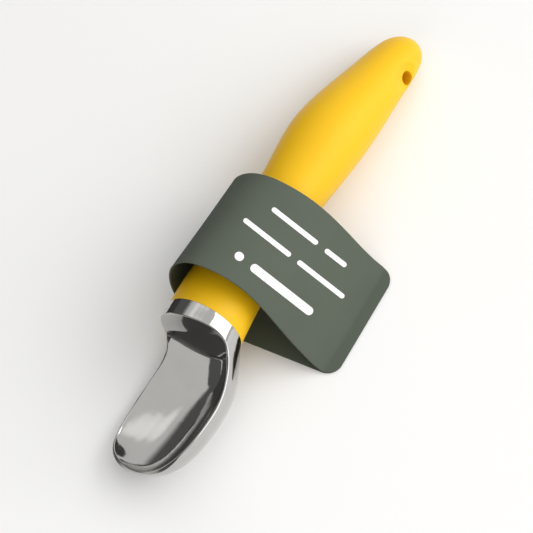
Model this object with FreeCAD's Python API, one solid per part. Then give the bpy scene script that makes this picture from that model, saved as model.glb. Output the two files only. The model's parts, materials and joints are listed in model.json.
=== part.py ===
"""Ice-cream scoop lying on a counter, with its folded card sleeve round the handle.

The scoop is drawn along its own axis first (the tool frame) and then laid down:
  tool X  along the handle, from the butt (minus) to the bowl (plus), 0 at the collar's back face
  tool Y  across the bowl
  tool Z  out of the bowl's mouth
Row frame: +X along the handle towards the bowl, +Z up, the counter at Z = 0. Lengths in mm.
"""
import FreeCAD
import Part
import math
import os

V = FreeCAD.Vector

# --- how the scoop lies -------------------------------------------------------------------
ROLL_DEG = 39.0          # turn about its own axis, the mouth facing up and to -Y
PITCH_DEG = 2.1          # the bowl end is raised, because the bowl is deeper than the butt

# --- cast head ----------------------------------------------------------------------------
COLLAR_R = 13.75         # round collar, flush with the handle
BOWL_HALF_WIDTH = 19.2   # outside, at the rim
BOWL_TIP_X = 54.4        # outside, at the rim
WIDEST_X = 28.0
KEEL_X = 15.0            # the keel, the outside's lowest line, is deepest here
KEEL_Z = -21.4
RIM_Z = -7.5             # the level of the mouth
RIM_START_X = 20.0       # from here to the tip the mouth is nearly flat
TIP_BLUNTNESS = 2.9      # superellipse power of the plan outline
KEEL_BLUNTNESS = 2.5     # superellipse power of the keel line
RIM_WALL = 0.9
FLOOR_WALL = 3.0
HEEL_FOOT_X = 3.4        # the flat wall that closes the hollow at the collar
HEEL_SLOPE_DEG = 7.0
HEEL_FILLET = 1.2
HOLLOW_SAG = 1.95         # the hollow's section: 1 an ellipse, 2 a parabola
RIM_ROUNDING = 0.33       # both edges of the thin rim
MOUTH_PROFILE = (        # side view of the cut that opens the bowl: x, z
    (6.9, 22.0), (6.3, 13.0), (5.3, 6.0), (5.9, 1.0), (9.4, -3.5), (16.5, -6.3),
    (28.0, -7.5), (42.0, -7.1), (50.0, -8.0), (54.0, -10.3), (60.0, -15.0),
)

# --- tang, the part of the casting that the handle is moulded on -----------------------------
TANG_LENGTH = 72.0
TANG_ROOT_R = 6.2
TANG_END_R = 4.2
TANG_FLAT_HALF = 3.6     # two flats stop the head turning in the handle
GROOVE_AT = (16.0, 34.0, 52.0)
GROOVE_WIDTH = 5.0
GROOVE_DEPTH = 0.9

# --- handle ---------------------------------------------------------------------------------
HANDLE_LENGTH = 137.4
BUTT_CAP = 9.0           # length of the rounded end
HANDLE_STATIONS = (      # distance behind the collar, centre height, radius
    (0.0, 0.0, 13.75), (18.0, 0.9, 12.9), (38.0, 0.2, 11.6), (60.0, -0.8, 11.8),
    (82.0, -1.5, 13.5), (104.0, -4.6, 11.75), (124.0, -8.1, 9.0), (129.0, -9.0, 8.3),
)
GRIP_WALL = 2.4          # soft outer moulding over the rigid core
CORE_NOSE = 3.0          # the grip closes over the core's front face by this much
HOLE_X = 120.5           # hang hole across the butt, distance behind the collar
HOLE_DROP = 3.2          # below the handle's centre line
HOLE_R = 2.5
HOLE_LINING = 1.2        # the soft moulding lines the hole in the core
HOLE_DISH_R = 5.5        # the grip is dished round each mouth of the hole
HOLE_DISH_DEPTH = 1.0

# --- card sleeve -------------------------------------------------------------------------------
CARD = 0.5               # thickness of the board
GLUE = 0.1
CARD_EDGE_Y = 42.8       # the closed edge, where both ends of the strip are glued
CARD_FRONT_X = -12.9     # ends of that edge
CARD_BACK_X = -57.4
CARD_SKEW = 0.1          # both long edges lean towards the bowl as they go round
CARD_CORNER_R = 5.5
FLAT_FROM_Y = 4.0        # from here to the closed edge the lower panel lies flat
FLAP_FROM_Y = 39.2       # from here to the closed edge the upper panel lies on the lower one
GLUE_WIDTH = 2.8
GLUE_INSET = 0.5
# Middle line of the upper panel and the loop, y and z, at the end of the loop nearer the bowl
BOWL_SIDE_LOOP = (
    (36.6, 2.0), (33.6, 5.2), (27.2, 13.6), (15.3, 32.2), (9.3, 39.2), (2.7, 43.2),
    (-3.6, 44.6), (-9.8, 43.6), (-14.2, 39.6), (-17.0, 31.5), (-16.9, 22.0), (-14.0, 12.0),
    (-8.5, 5.0), (-2.5, 1.5),
)
# ... and at the end nearer the butt
BUTT_SIDE_LOOP = (
    (36.9, 1.8), (33.9, 4.4), (24.5, 15.4), (15.3, 25.6), (8.0, 30.7), (1.0, 33.2),
    (-4.5, 33.8), (-9.8, 32.2), (-14.4, 28.0), (-17.8, 20.6), (-17.6, 13.0), (-14.2, 6.6),
    (-8.5, 2.8), (-2.5, 0.9),
)
LOOP_BOWL_X = -9.0       # the stations of those two outlines
LOOP_BUTT_X = -54.0


def ease(s):
    """Smooth step from 0 to 1."""
    s = min(max(s, 0.0), 1.0)
    return s * s * (3.0 - 2.0 * s)


def superellipse(u, power):
    """Height of the unit superellipse at u."""
    return (1.0 - min(abs(u), 1.0) ** power) ** (1.0 / power)


def spline(points, closed=False):
    curve = Part.BSplineCurve()
    curve.interpolate(Points=points, PeriodicFlag=closed)
    return curve


# --- the head's outside and hollow share these lines ---------------------------------------------
def mid_z(x):
    """Height of the widest line: the axis at the collar, the rim's level in the bowl."""
    return RIM_Z * ease(x / RIM_START_X)


def head_section(x, tip_x, wall, floor_wall):
    """Half-width, height above and depth below the widest line at station x."""
    if x <= WIDEST_X:
        half = COLLAR_R + (BOWL_HALF_WIDTH - COLLAR_R) * ease(x / WIDEST_X) - wall
        top = COLLAR_R - wall - mid_z(x)
    else:
        plan = superellipse((x - WIDEST_X) / (tip_x - WIDEST_X), TIP_BLUNTNESS)
        half = (BOWL_HALF_WIDTH - wall) * plan
        top = (COLLAR_R - wall - RIM_Z) * plan
    if x <= KEEL_X:
        keel = -COLLAR_R + (KEEL_Z + COLLAR_R) * (1.0 - (1.0 - max(x, 0.0) / KEEL_X) ** 2)
        depth = mid_z(x) - keel - floor_wall
    else:
        side = superellipse((x - KEEL_X) / (tip_x - KEEL_X), KEEL_BLUNTNESS)
        depth = mid_z(x) - RIM_Z + (RIM_Z - KEEL_Z - floor_wall) * side
    return half, top, depth


def head_wire(x, tip_x, wall, floor_wall, sag, count=24):
    """Closed section: half an ellipse above, and below it an ellipse (sag 1) to a parabola (sag 2)."""
    half, top, depth = head_section(x, tip_x, wall, floor_wall)
    points = []
    for i in range(count):
        angle = math.pi / 2 + 2 * math.pi * i / count
        up = math.sin(angle)
        rise = top * up if up > 0 else -depth * abs(up) ** sag
        points.append(V(x, half * math.cos(angle), mid_z(x) + rise))
    return Part.Wire(spline(points, closed=True).toShape())


def tip_stations(tip_x):
    """Stations from the widest section to the tip, closer together where the outline turns in."""
    stations = []
    for degrees in (12, 25, 38, 50, 60, 69, 77, 83, 87):
        angle = math.radians(degrees)
        polar = (math.cos(angle) ** TIP_BLUNTNESS + math.sin(angle) ** TIP_BLUNTNESS)
        stations.append(WIDEST_X + (tip_x - WIDEST_X) * math.sin(angle) * polar ** (-1.0 / TIP_BLUNTNESS))
    return stations


def head_solid(start_x, tip_x, wall, floor_wall, sag):
    straight = [start_x, 3.0, 7.0, 12.0, 17.0, 22.0, WIDEST_X]
    stations = [x for x in straight if x >= start_x] + tip_stations(tip_x)
    return Part.makeLoft([head_wire(x, tip_x, wall, floor_wall, sag) for x in stations], True, False)


def mouth_curve():
    """The rim's line in side view."""
    return spline([V(x, 0, z) for x, z in MOUTH_PROFILE])


def mouth_cutter():
    """Everything above the rim."""
    curve = mouth_curve()
    first = V(MOUTH_PROFILE[0][0], 0, MOUTH_PROFILE[0][1])
    last = V(MOUTH_PROFILE[-1][0], 0, MOUTH_PROFILE[-1][1])
    corner = V(last.x, 0, first.z)
    wire = Part.Wire([curve.toShape(), Part.makeLine(last, corner), Part.makeLine(corner, first)])
    reach = 2 * BOWL_HALF_WIDTH
    face = Part.Face(wire)
    face.translate(V(0, -reach, 0))
    return face.extrude(V(0, 2 * reach, 0))


def hollow():
    """The bowl's hollow, closed at the collar by a flat, slightly leaning heel wall."""
    body = head_solid(-3.0, BOWL_TIP_X - RIM_WALL, RIM_WALL, FLOOR_WALL, HOLLOW_SAG)
    size = 100.0
    behind = Part.makeBox(size, size, 2 * size, V(-size, -size / 2, -size))
    behind.rotate(V(0, 0, 0), V(0, 1, 0), HEEL_SLOPE_DEG)
    top_shift = COLLAR_R * math.tan(math.radians(HEEL_SLOPE_DEG))
    behind.translate(V(HEEL_FOOT_X + top_shift, 0, 0))
    body = body.cut(behind)
    heel_edges = []
    for edge in body.Edges:
        box = edge.BoundBox
        if box.XMax < WIDEST_X / 2 and box.YLength > COLLAR_R:
            heel_edges.append(edge)
    return body.makeFillet(HEEL_FILLET, heel_edges)


def rim_edges(body):
    """The edges that lie on the rim's line all the way."""
    line = mouth_curve().toShape()
    found = []
    for edge in body.Edges:
        first, last = edge.ParameterRange
        points = [edge.valueAt(first + (last - first) * k / 4.0) for k in range(5)]
        gaps = [line.distToShape(Part.Vertex(V(p.x, 0, p.z)))[0] for p in points]
        if max(gaps) < 0.02:
            found.append(edge)
    return found


def tang():
    """Tapered round bar with three grooves and two flats, behind the collar."""
    slope = (TANG_ROOT_R - TANG_END_R) / TANG_LENGTH
    outline = [(0.0, 0.0), (0.0, TANG_ROOT_R)]
    for at in GROOVE_AT:
        start = at - GROOVE_WIDTH / 2
        end = at + GROOVE_WIDTH / 2
        outline.append((start, TANG_ROOT_R - slope * start))
        outline.append((start + GROOVE_DEPTH, TANG_ROOT_R - slope * start - GROOVE_DEPTH))
        outline.append((end - GROOVE_DEPTH, TANG_ROOT_R - slope * end - GROOVE_DEPTH))
        outline.append((end, TANG_ROOT_R - slope * end))
    outline.append((TANG_LENGTH - 1.5, TANG_END_R))
    outline.append((TANG_LENGTH, TANG_END_R - 1.5))
    outline.append((TANG_LENGTH, 0.0))
    points = [V(-x, 0, r) for x, r in outline]
    wire = Part.makePolygon(points + [points[0]])
    bar = Part.Face(wire).revolve(V(0, 0, 0), V(1, 0, 0), 360)
    flats = Part.makeBox(TANG_LENGTH, 2 * TANG_FLAT_HALF, 40.0, V(-TANG_LENGTH, -TANG_FLAT_HALF, -20.0))
    return bar.common(flats)


def scoop_head():
    body = head_solid(0.0, BOWL_TIP_X, 0.0, 0.0, 1.0)
    body = body.cut(mouth_cutter()).cut(hollow())
    body = body.makeFillet(RIM_ROUNDING, rim_edges(body))
    return body.fuse(tang())


# --- handle ------------------------------------------------------------------------------------
def handle_line():
    """Smooth curve through the stations: x is the distance, y the radius, z the centre height."""
    return spline([V(at, radius, height) for at, height, radius in HANDLE_STATIONS])


def handle_at(line, at):
    """Centre height and radius at a distance behind the collar."""
    low = line.FirstParameter
    high = line.LastParameter
    for _ in range(50):
        middle = (low + high) / 2
        if line.value(middle).x < at:
            low = middle
        else:
            high = middle
    point = line.value(low)
    return point.z, point.y


def handle_solid(inset, front):
    """The handle's outside, or the core's when inset, starting at the distance front."""
    line = handle_line()
    length = HANDLE_LENGTH - inset
    cap_at = length - BUTT_CAP
    stations = []
    for at in (front, 9.0, 18.0, 28.0, 38.0, 49.0, 60.0, 71.0, 82.0, 93.0, 104.0, 115.0, cap_at):
        height, radius = handle_at(line, at)
        stations.append((at, height, radius - inset))
    centre, radius = handle_at(line, cap_at)
    before, radius_before = handle_at(line, cap_at - 1.0)
    fall = centre - before
    taper = radius_before - radius
    for degrees in (20, 38, 54, 68, 79, 86):
        angle = math.radians(degrees)
        along = BUTT_CAP * math.sin(angle)
        shrink = math.cos(angle)
        cap_radius = (radius - inset - taper * along * shrink) * shrink
        stations.append((cap_at + along, centre + fall * along, cap_radius))
    wires = []
    for at, height, radius in stations:
        circle = Part.Circle(V(-at, 0, height), V(1, 0, 0), radius)
        wires.append(Part.Wire(circle.toShape()))
    return Part.makeLoft(wires, True, False)


def hole_centre():
    height, _ = handle_at(handle_line(), HOLE_X)
    return V(-HOLE_X, 0, height - HOLE_DROP)


def hole_cutter(radius):
    reach = 2 * COLLAR_R
    return Part.makeCylinder(radius, 2 * reach, hole_centre() - V(0, reach, 0), V(0, 1, 0))


def hole_dishes():
    """Shallow round dishes at both mouths of the hang hole."""
    _, radius = handle_at(handle_line(), HOLE_X)
    surface = math.sqrt(radius ** 2 - HOLE_DROP ** 2)
    ball = (HOLE_DISH_R ** 2 + HOLE_DISH_DEPTH ** 2) / (2 * HOLE_DISH_DEPTH)
    middle = hole_centre()
    dishes = []
    for side in (-1, 1):
        at = middle + V(0, side * (surface + ball - HOLE_DISH_DEPTH), 0)
        dishes.append(Part.makeSphere(ball, at))
    return dishes[0].fuse(dishes[1])


def handle_core():
    core = handle_solid(GRIP_WALL, CORE_NOSE)
    return core.cut(tang()).cut(hole_cutter(HOLE_R + HOLE_LINING))


def handle_grip():
    grip = handle_solid(0.0, 0.0).cut(handle_solid(GRIP_WALL, CORE_NOSE))
    lining = hole_cutter(HOLE_R + HOLE_LINING).common(handle_solid(GRIP_WALL, CORE_NOSE))
    grip = grip.fuse(lining).cut(tang())
    return grip.cut(hole_dishes()).cut(hole_cutter(HOLE_R))


# --- card sleeve, drawn straight in the lying position, with X still measured from the collar ------
def shifted(points, distance):
    """The outline moved sideways by a distance, to its left as it runs."""
    moved = []
    last = len(points) - 1
    for i, (y, z) in enumerate(points):
        y0, z0 = points[max(i - 1, 0)]
        y1, z1 = points[min(i + 1, last)]
        run = math.hypot(y1 - y0, z1 - z0)
        moved.append((y - distance * (z1 - z0) / run, z + distance * (y1 - y0) / run))
    return moved


def card_wire(x, loop):
    """Closed outline of the strip's edge: lower panel, loop, upper panel and glued flap."""
    lap = (FLAP_FROM_Y, CARD + GLUE + CARD / 2)
    line = [lap, *loop, (FLAT_FROM_Y, CARD / 2)]
    sides = []
    for half in (-CARD / 2, CARD / 2):
        points = [V(x, y, z) for y, z in shifted(line, half)]
        points[0] = V(x, lap[0], lap[1] - half)
        points[-1] = V(x, FLAT_FROM_Y, CARD / 2 + half)
        curve = Part.BSplineCurve()
        curve.interpolate(Points=points, InitialTangent=V(0, -1, 0), FinalTangent=V(0, 1, 0), Scale=False)
        sides.append((curve, points[0], points[-1]))
    (outer, outer_lap, outer_flat), (inner, inner_lap, inner_flat) = sides
    edge = [V(x, CARD_EDGE_Y, z) for z in (0.0, CARD, CARD + GLUE, 2 * CARD + GLUE)]
    inner.reverse()
    return Part.Wire([
        Part.makeLine(edge[3], outer_lap), outer.toShape(), Part.makeLine(outer_flat, edge[0]),
        Part.makeLine(edge[0], edge[1]), Part.makeLine(edge[1], inner_flat), inner.toShape(),
        Part.makeLine(inner_lap, edge[2]), Part.makeLine(edge[2], edge[3]),
    ])


def edge_x(end_x, y):
    """A long edge of the strip in plan."""
    return end_x + CARD_SKEW * (CARD_EDGE_Y - y)


def card_outline(height):
    """Prism that trims the strip's long edges and rounds the corners of the closed edge."""
    left = -60.0
    corners = [
        V(edge_x(CARD_BACK_X, CARD_EDGE_Y), CARD_EDGE_Y, -1), V(edge_x(CARD_BACK_X, left), left, -1),
        V(edge_x(CARD_FRONT_X, left), left, -1), V(edge_x(CARD_FRONT_X, CARD_EDGE_Y), CARD_EDGE_Y, -1),
    ]
    prism = Part.Face(Part.makePolygon(corners + [corners[0]])).extrude(V(0, 0, height))
    upright = []
    for edge in prism.Edges:
        box = edge.BoundBox
        if box.ZLength > height / 2 and box.YMin > CARD_EDGE_Y - 1.0:
            upright.append(edge)
    return prism.makeFillet(CARD_CORNER_R, upright)


def loop_at(x):
    """The loop's middle line at any station, straight between the two given outlines."""
    t = (x - LOOP_BUTT_X) / (LOOP_BOWL_X - LOOP_BUTT_X)
    points = []
    for (y0, z0), (y1, z1) in zip(BUTT_SIDE_LOOP, BOWL_SIDE_LOOP):
        points.append((y0 + (y1 - y0) * t, z0 + (z1 - z0) * t))
    return points


def card_sleeve():
    margin = 2.0
    ends = (CARD_BACK_X - margin, edge_x(CARD_FRONT_X, -20.0) + margin)
    strip = Part.makeLoft([card_wire(x, loop_at(x)) for x in ends], True, True)
    return strip.common(card_outline(60.0))


def glue_strip():
    length = CARD_FRONT_X - CARD_BACK_X - 2 * CARD_CORNER_R
    corner = V(CARD_BACK_X + CARD_CORNER_R, CARD_EDGE_Y - GLUE_INSET - GLUE_WIDTH, CARD)
    return Part.makeBox(length, GLUE_WIDTH, GLUE, corner)


# --- laying it down ---------------------------------------------------------------------------------
def lay_down(shape):
    """Roll the scoop about its axis and raise its bowl end."""
    placed = shape.copy()
    placed.rotate(V(0, 0, 0), V(1, 0, 0), ROLL_DEG)
    placed.rotate(V(0, 0, 0), V(0, 1, 0), -PITCH_DEG)
    return placed


def exact_box(shapes):
    return Part.makeCompound(shapes).optimalBoundingBox(False, False)


def main():
    scoop = {
        "scoop_head": lay_down(scoop_head()),
        "handle_core": lay_down(handle_core()),
        "handle_grip": lay_down(handle_grip()),
    }
    card = {"card_sleeve": card_sleeve(), "glue_strip": glue_strip()}

    # The scoop comes down until its lowest point meets the counter; the card already lies on it.
    drop = -exact_box(list(scoop.values())).ZMin
    for shape in scoop.values():
        shape.translate(V(0, 0, drop))

    # The row's origin is under the middle of everything.
    nodes = {**scoop, **card}
    box = exact_box(list(nodes.values()))
    centre = V(-box.Center.x, -box.Center.y, 0)
    os.makedirs("parts", exist_ok=True)
    for name, shape in nodes.items():
        shape.translate(centre)
        shape.exportStep("parts/" + name + ".step")
        print(name, "solids", len(shape.Solids), "valid", shape.isValid(), "cm3", round(shape.Volume / 1000, 3))

    collar = V(0, 0, drop) + centre
    roll = FreeCAD.Rotation(V(1, 0, 0), ROLL_DEG)
    pitch = FreeCAD.Rotation(V(0, 1, 0), -PITCH_DEG)
    hole = pitch.multVec(roll.multVec(hole_centre())) + collar
    across = pitch.multVec(roll.multVec(V(0, 1, 0)))
    print("box", box.XLength, box.YLength, box.ZLength)
    print("butt above the counter", exact_box([scoop["handle_grip"]]).ZMin)
    print("collar centre", tuple(collar), "hang hole", tuple(hole), "along", tuple(across))


main()
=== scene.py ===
import json
import math

import bpy
from mathutils import Matrix, Vector
from mathutils.bvhtree import BVHTree


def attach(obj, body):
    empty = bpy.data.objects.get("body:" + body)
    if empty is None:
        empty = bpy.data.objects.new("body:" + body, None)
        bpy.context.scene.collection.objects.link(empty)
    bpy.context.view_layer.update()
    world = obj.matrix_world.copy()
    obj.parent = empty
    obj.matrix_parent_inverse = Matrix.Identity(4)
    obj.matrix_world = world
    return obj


# Ice cream scoop with a card sleeve, on a pale studio floor. Metres, row frame: +X along the
# handle towards the bowl, +Z up. The CAD pieces keep their own shapes; this script gives them
# their materials, adds the print on the card, and lights and frames the scene.

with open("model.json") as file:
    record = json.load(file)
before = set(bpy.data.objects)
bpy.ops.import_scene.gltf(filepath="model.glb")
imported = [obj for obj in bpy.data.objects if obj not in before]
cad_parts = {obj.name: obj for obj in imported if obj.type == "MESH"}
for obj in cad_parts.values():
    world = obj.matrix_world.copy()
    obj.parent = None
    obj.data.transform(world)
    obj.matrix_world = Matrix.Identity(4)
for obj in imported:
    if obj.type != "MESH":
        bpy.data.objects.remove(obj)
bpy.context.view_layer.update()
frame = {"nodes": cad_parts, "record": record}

MM = 0.001

# --- camera and studio -------------------------------------------------------------------------
CAMERA_ELEVATION = 65.157          # degrees above the floor
CAMERA_AZIMUTH = 29.434            # degrees from +X towards +Y
CAMERA_DISTANCE = 0.9              # from the collar
HOLE_TO_COLLAR = Vector((0.120115, -0.006718, 0.012706))   # hang hole to collar, metres
CAMERA_LENS = 184.2                # mm
CAMERA_SENSOR = 36.0               # mm
AIM_RIGHT = 20.36 * MM             # where the camera points, from the collar
AIM_UP = 19.29 * MM

KEY_AZIMUTH = 128.0                # the large softbox
KEY_ELEVATION = 34.0
KEY_DISTANCE = 0.95
KEY_SIZE = (0.86, 0.90)
KEY_WATTS = 5.0
FILLS = (                          # azimuth, elevation, distance, size, watts; not seen in the metal
    (60.0, 80.0, 1.0, 1.1, 1.3),
    (10.0, 32.0, 0.8, 0.6, 1.3),
)

FLAG_CENTRE = Vector((0.06, 0, 0.001))   # the black card is a slice of a ring round this point
FLAG_SIDES = (-150, -100)          # azimuths of its two straight sides
FLAG_NEAR = 0.075
FLAG_FAR = 1.2

HORIZON = (0.76, 0.76, 0.76, 1)
ZENITH = (0.80, 0.80, 0.79, 1)
DARK_WALL = (0.12, 0.12, 0.12, 1)
LAMP = (1.25, 1.25, 1.23, 1)
BACKDROP = (0.93, 0.93, 0.93, 1)   # what the camera sees past the floor
PATCHES = (                        # azimuth, elevation, full within, gone past (degrees), colour
    (0, 90, 0, 95, ZENITH),
    (0, 12, 34, 48, DARK_WALL),
    (-170, 56, 0, 10, LAMP),
    (-153, 53, 0, 10, LAMP),
    (-136, 46, 0, 10, LAMP),
    (-95, -14, 43, 57, DARK_WALL),
    (-82, -6, 34, 36, DARK_WALL),
    (-60, 14, 41, 43, DARK_WALL),
)
FLOOR_SIZE = 3.0
FLOOR_COLOUR = (0.905, 0.9, 0.893)

# --- the print on the card ----------------------------------------------------------------------
# Plain rounded bars stand for three lines of small print. Each is seen from the camera's side:
# (start, end, distance from the middle line, thickness), in mm, along and across the lines.
PRINT_ORIGIN = (29.4, 22.0)        # the middle of the print, right and up of the collar
PRINT_TILT = -38.0                 # degrees, as the lines run from the camera
PRINT_BARS = (
    (-15.8, 3.2, 8.6, 1.7),
    (6.4, 15.2, 8.6, 1.7),
    (-21.0, -1.4, 0.0, 1.7),
    (1.6, 21.0, 0.0, 1.7),
    (-16.2, -13.0, -10.6, 2.9),
    (-9.6, 16.0, -10.6, 2.9),
)
PRINT_FILM = 0.02 * MM             # the ink stands this far off the card
PRINT_STEP = 0.6                   # mm along a bar between its cross lines
PRINT_ROWS = 4                     # faces across a bar


def unit(azimuth, elevation):
    a = math.radians(azimuth)
    e = math.radians(elevation)
    return Vector((math.cos(e) * math.cos(a), math.cos(e) * math.sin(a), math.sin(e)))


def link(obj):
    bpy.context.scene.collection.objects.link(obj)
    return obj


# --- material helpers --------------------------------------------------------------------------
class Look:
    """A Principled material under construction."""

    def __init__(self, name, colour, roughness, metallic=0.0):
        self.material = bpy.data.materials.new(name)
        self.material.use_nodes = True
        self.tree = self.material.node_tree
        self.shader = self.tree.nodes["Principled BSDF"]
        self.shader.inputs["Base Color"].default_value = (*colour, 1.0)
        self.shader.inputs["Roughness"].default_value = roughness
        self.shader.inputs["Metallic"].default_value = metallic
        self.place = self.node("ShaderNodeTexCoord").outputs["Object"]

    def node(self, kind, **values):
        made = self.tree.nodes.new(kind)
        for key, value in values.items():
            setattr(made, key, value)
        return made

    def join(self, source, target):
        self.tree.links.new(source, target)

    def stretched(self, scale):
        """Object coordinates scaled along each axis, per metre."""
        mapping = self.node("ShaderNodeMapping")
        mapping.inputs["Scale"].default_value = scale
        self.join(self.place, mapping.inputs["Vector"])
        return mapping.outputs["Vector"]

    def noise(self, scale, detail=3.0, roughness=0.5, vector=None):
        made = self.node("ShaderNodeTexNoise")
        made.inputs["Scale"].default_value = scale
        made.inputs["Detail"].default_value = detail
        made.inputs["Roughness"].default_value = roughness
        self.join(vector or self.place, made.inputs["Vector"])
        return made.outputs["Fac"]

    def ramp(self, source, low, high, from_low=0.3, from_high=0.7):
        made = self.node("ShaderNodeMapRange")
        made.inputs["From Min"].default_value = from_low
        made.inputs["From Max"].default_value = from_high
        made.inputs["To Min"].default_value = low
        made.inputs["To Max"].default_value = high
        self.join(source, made.inputs["Value"])
        return made.outputs["Result"]

    def mix_colour(self, source, first, second):
        made = self.node("ShaderNodeMix", data_type="RGBA")
        made.inputs["A"].default_value = (*first, 1.0)
        made.inputs["B"].default_value = (*second, 1.0)
        self.join(source, made.inputs["Factor"])
        self.join(made.outputs["Result"], self.shader.inputs["Base Color"])

    def bump(self, source, distance, strength=1.0, under=None):
        made = self.node("ShaderNodeBump")
        made.inputs["Strength"].default_value = strength
        made.inputs["Distance"].default_value = distance
        self.join(source, made.inputs["Height"])
        if under:
            self.join(under, made.inputs["Normal"])
        return made.outputs["Normal"]

    def rounded(self, radius):
        """Normals rounded over sharp edges."""
        made = self.node("ShaderNodeBevel", samples=6)
        made.inputs["Radius"].default_value = radius
        return made.outputs["Normal"]

    def normal(self, source):
        self.join(source, self.shader.inputs["Normal"])


def polished_metal():
    look = Look("polished_cast_aluminium", (0.52, 0.515, 0.50), 0.09, 1.0)
    fine = look.noise(1.0, 2.0, 0.5, look.stretched((260.0, 2600.0, 2600.0)))
    cloud = look.noise(70.0, 3.0, 0.55)
    look.mix_colour(look.ramp(cloud, 0.0, 1.0), (0.50, 0.495, 0.48), (0.54, 0.535, 0.52))
    look.join(look.ramp(cloud, 0.07, 0.11), look.shader.inputs["Roughness"])
    waves = look.bump(look.noise(55.0, 1.0, 0.4), 0.06 * MM, 0.35, look.rounded(0.15 * MM))
    look.normal(look.bump(fine, 0.002 * MM, 0.5, waves))
    return look.material


def soft_yellow():
    look = Look("satin_yellow_grip", (0.90, 0.52, 0.006), 0.5)
    look.shader.inputs["Specular IOR Level"].default_value = 0.25
    cloud = look.noise(38.0, 4.0, 0.55)
    look.mix_colour(look.ramp(cloud, 0.0, 1.0), (0.89, 0.51, 0.005), (0.915, 0.53, 0.007))
    look.join(look.ramp(cloud, 0.39, 0.45), look.shader.inputs["Roughness"])
    grain = look.noise(2600.0, 2.0, 0.6)
    look.normal(look.bump(grain, 0.012 * MM, 0.5, look.rounded(0.5 * MM)))
    return look.material


def core_plastic():
    look = Look("core_plastic", (0.80, 0.50, 0.05), 0.5)
    cloud = look.noise(60.0, 3.0)
    look.mix_colour(look.ramp(cloud, 0.0, 1.0), (0.77, 0.48, 0.045), (0.83, 0.52, 0.055))
    look.normal(look.bump(look.noise(900.0, 2.0), 0.02 * MM, 0.5))
    return look.material


def printed_card():
    look = Look("green_printed_card", (0.087, 0.104, 0.079), 0.78)
    look.shader.inputs["Specular IOR Level"].default_value = 0.32
    fibre = look.noise(1.0, 4.0, 0.6, look.stretched((900.0, 420.0, 420.0)))
    cloud = look.noise(45.0, 3.0, 0.5)
    blend = look.node("ShaderNodeMath", operation="ADD")
    look.join(look.ramp(fibre, 0.0, 0.5), blend.inputs[0])
    look.join(look.ramp(cloud, 0.0, 0.5), blend.inputs[1])
    look.mix_colour(blend.outputs[0], (0.080, 0.096, 0.073), (0.094, 0.112, 0.085))
    look.join(look.ramp(fibre, 0.70, 0.86), look.shader.inputs["Roughness"])
    look.normal(look.bump(fibre, 0.035 * MM, 0.45, look.rounded(0.2 * MM)))
    return look.material


def dried_glue():
    look = Look("dried_glue", (0.80, 0.78, 0.70), 0.35)
    look.mix_colour(look.ramp(look.noise(700.0), 0.0, 1.0), (0.76, 0.74, 0.66), (0.84, 0.82, 0.75))
    look.normal(look.bump(look.noise(1500.0), 0.03 * MM, 0.6))
    return look.material


def white_ink():
    look = Look("white_ink", (0.86, 0.86, 0.84), 0.62)
    speck = look.noise(1400.0, 2.0)
    look.mix_colour(look.ramp(speck, 0.0, 1.0), (0.82, 0.82, 0.80), (0.88, 0.88, 0.865))
    look.normal(look.bump(speck, 0.02 * MM, 0.4))
    return look.material


def pale_floor():
    look = Look("pale_floor", FLOOR_COLOUR, 0.75)
    look.shader.inputs["Specular IOR Level"].default_value = 0.15
    return look.material


FINISHES = {
    "scoop_head": polished_metal,
    "handle_core": core_plastic,
    "handle_grip": soft_yellow,
    "card_sleeve": printed_card,
    "glue_strip": dried_glue,
}


def dress_cad_nodes():
    for name, make in FINISHES.items():
        mesh = frame["nodes"][name].data
        mesh.materials.clear()
        mesh.materials.append(make())


# --- print -------------------------------------------------------------------------------------
def stadium(start, end, thickness, steps=8):
    """Stations along a bar with round ends: each one's distance, and half the bar's width there."""
    radius = thickness / 2
    stations = []
    for i in range(steps + 1):
        turn = math.pi / 2 * i / steps
        stations.append((start + radius * (1 - math.cos(turn)), radius * math.sin(turn)))
    count = max(2, int((end - start - thickness) / PRINT_STEP))
    for i in range(1, count):
        stations.append((start + radius + (end - start - thickness) * i / count, radius))
    for i in range(steps + 1):
        turn = math.pi / 2 * (1 - i / steps)
        stations.append((end - radius * (1 - math.cos(turn)), radius * math.sin(turn)))
    return stations


def print_on_card():
    card = frame["nodes"]["card_sleeve"].data
    surface = BVHTree.FromPolygons(
        [vertex.co for vertex in card.vertices], [polygon.vertices for polygon in card.polygons]
    )
    toward, right, up = camera_axes()
    eye = collar_centre() + CAMERA_DISTANCE * toward
    tilt = math.radians(PRINT_TILT)
    along = math.cos(tilt) * right + math.sin(tilt) * up
    across = -math.sin(tilt) * right + math.cos(tilt) * up
    middle = collar_centre() + (PRINT_ORIGIN[0] * right + PRINT_ORIGIN[1] * up) * MM
    ink = white_ink()
    line = PRINT_ROWS + 1

    def on_card(a, b):
        """The point of the card that the camera sees at a along the lines and b across them."""
        point = middle + (a * along + b * across) * MM
        place, normal, _, _ = surface.ray_cast(eye, (point - eye).normalized())
        if normal.dot(toward) < 0:
            normal = -normal
        return place + normal * PRINT_FILM

    for index, (start, end, offset, thickness) in enumerate(PRINT_BARS):
        vertices = []
        faces = []
        for a, half in stadium(start, end, thickness):
            for row in range(line):
                vertices.append(on_card(a, offset + half * (2 * row / PRINT_ROWS - 1)))
        for i in range(len(vertices) // line - 1):
            for row in range(PRINT_ROWS):
                first = i * line + row
                faces.append((first, first + line, first + line + 1, first + 1))
        mesh = bpy.data.meshes.new(f"print_bar_{index + 1}")
        mesh.from_pydata(vertices, [], faces)
        for polygon in mesh.polygons:
            polygon.use_smooth = True
        mesh.materials.append(ink)
        bar = link(bpy.data.objects.new(f"print_bar_{index + 1}", mesh))
        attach(bar, "sleeve")


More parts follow.
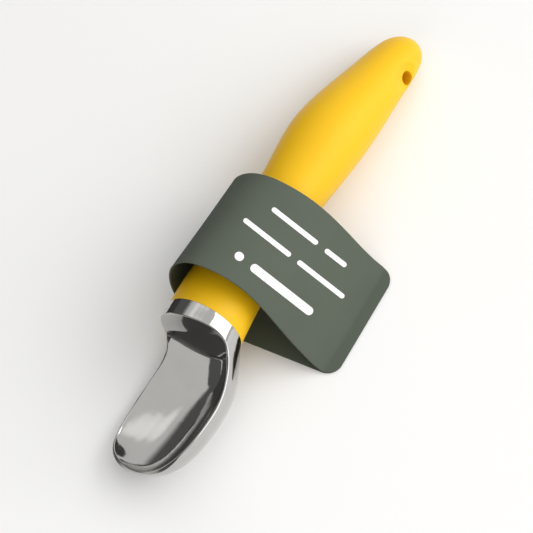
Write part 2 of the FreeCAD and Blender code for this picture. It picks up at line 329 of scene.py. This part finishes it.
# --- camera, floor and light -------------------------------------------------------------------
def collar_centre():
    """The middle of the collar's back face, found from the hang hole's mount in the record."""
    mounts = {mount["name"]: mount for mount in frame["record"]["mounts"]}
    return Vector(mounts["hang_hole"]["pos_m"]) + HOLE_TO_COLLAR


def camera_axes():
    """The directions towards the camera, right and up in its picture."""
    toward = unit(CAMERA_AZIMUTH, CAMERA_ELEVATION)
    right = Vector((0, 0, 1)).cross(toward).normalized()
    return toward, right, toward.cross(right)


def place_camera():
    toward, right, up = camera_axes()
    collar = collar_centre()
    data = bpy.data.cameras.new("camera")
    data.lens = CAMERA_LENS
    data.sensor_width = CAMERA_SENSOR
    data.clip_start = 0.05
    camera = link(bpy.data.objects.new("camera", data))
    camera.location = collar + CAMERA_DISTANCE * toward
    target = collar + AIM_RIGHT * right + AIM_UP * up
    back = (camera.location - target).normalized()
    side = up.cross(back).normalized()
    axes = Matrix((side, back.cross(side), back)).transposed()
    camera.rotation_euler = axes.to_euler()
    bpy.context.scene.camera = camera


def lay_floor():
    half = FLOOR_SIZE / 2
    mesh = bpy.data.meshes.new("floor")
    corners = [(-half, -half, 0), (half, -half, 0), (half, half, 0), (-half, half, 0)]
    mesh.from_pydata(corners, [], [(0, 1, 2, 3)])
    mesh.materials.append(pale_floor())
    link(bpy.data.objects.new("floor", mesh))


def softbox(name, azimuth, elevation, distance, size, watts):
    data = bpy.data.lights.new(name, "AREA")
    data.shape = "RECTANGLE"
    data.size, data.size_y = size
    data.energy = watts
    light = link(bpy.data.objects.new(name, data))
    direction = unit(azimuth, elevation)
    light.location = direction * distance
    light.rotation_euler = direction.to_track_quat("Z", "Y").to_euler()
    return light


def black_flag():
    """A black card beside the scoop that only the polished metal sees, as a photographer would set."""
    mesh = bpy.data.meshes.new("flag")
    corners = []
    first, last = FLAG_SIDES
    for distance, azimuth in ((FLAG_NEAR, first), (FLAG_FAR, first), (FLAG_FAR, last), (FLAG_NEAR, last)):
        corners.append(unit(azimuth, 0) * distance + FLAG_CENTRE)
    mesh.from_pydata(corners, [], [(0, 1, 2, 3)])
    mesh.materials.append(Look("black_flag", (0.03, 0.03, 0.03), 0.9).material)
    flag = link(bpy.data.objects.new("flag", mesh))
    flag.visible_camera = False
    flag.visible_diffuse = False
    flag.visible_shadow = False


def studio_world():
    """A pale room with dark walls and a strip of lamps, which the polished metal mirrors."""
    world = bpy.data.worlds.new("studio")
    bpy.context.scene.world = world
    world.use_nodes = True
    tree = world.node_tree
    tree.nodes.clear()
    place = tree.nodes.new("ShaderNodeTexCoord").outputs["Generated"]

    def lobe(azimuth, elevation, inner, outer):
        """1 within inner degrees of a direction, 0 past outer degrees."""
        dot = tree.nodes.new("ShaderNodeVectorMath")
        dot.operation = "DOT_PRODUCT"
        tree.links.new(place, dot.inputs[0])
        dot.inputs[1].default_value = unit(azimuth, elevation)
        edge = tree.nodes.new("ShaderNodeMapRange")
        edge.interpolation_type = "SMOOTHSTEP"
        edge.inputs["From Min"].default_value = math.cos(math.radians(outer))
        edge.inputs["From Max"].default_value = math.cos(math.radians(inner))
        tree.links.new(dot.outputs["Value"], edge.inputs["Value"])
        return edge.outputs["Result"]

    def blend(factor, under, colour):
        """The colour under, a constant or a node's output, covered by another where factor is 1."""
        mix = tree.nodes.new("ShaderNodeMix")
        mix.data_type = "RGBA"
        tree.links.new(factor, mix.inputs["Factor"])
        if isinstance(under, tuple):
            mix.inputs["A"].default_value = under
        else:
            tree.links.new(under, mix.inputs["A"])
        mix.inputs["B"].default_value = colour
        return mix.outputs["Result"]

    sky = HORIZON
    for azimuth, elevation, inner, outer, colour in PATCHES:
        sky = blend(lobe(azimuth, elevation, inner, outer), sky, colour)
    background = tree.nodes.new("ShaderNodeBackground")
    tree.links.new(sky, background.inputs["Color"])
    background.inputs["Strength"].default_value = 1.0
    backdrop = tree.nodes.new("ShaderNodeBackground")
    backdrop.inputs["Color"].default_value = BACKDROP
    path = tree.nodes.new("ShaderNodeLightPath")
    choose = tree.nodes.new("ShaderNodeMixShader")
    tree.links.new(path.outputs["Is Camera Ray"], choose.inputs["Fac"])
    tree.links.new(background.outputs["Background"], choose.inputs[1])
    tree.links.new(backdrop.outputs["Background"], choose.inputs[2])
    output = tree.nodes.new("ShaderNodeOutputWorld")
    tree.links.new(choose.outputs["Shader"], output.inputs["Surface"])


dress_cad_nodes()
place_camera()
lay_floor()
softbox("key", KEY_AZIMUTH, KEY_ELEVATION, KEY_DISTANCE, KEY_SIZE, KEY_WATTS)
for number, (azimuth, elevation, distance, size, watts) in enumerate(FILLS):
    softbox(f"fill_{number}", azimuth, elevation, distance, (size, size), watts).visible_glossy = False
black_flag()
studio_world()
print_on_card()
bpy.context.scene.view_settings.view_transform = "Standard"
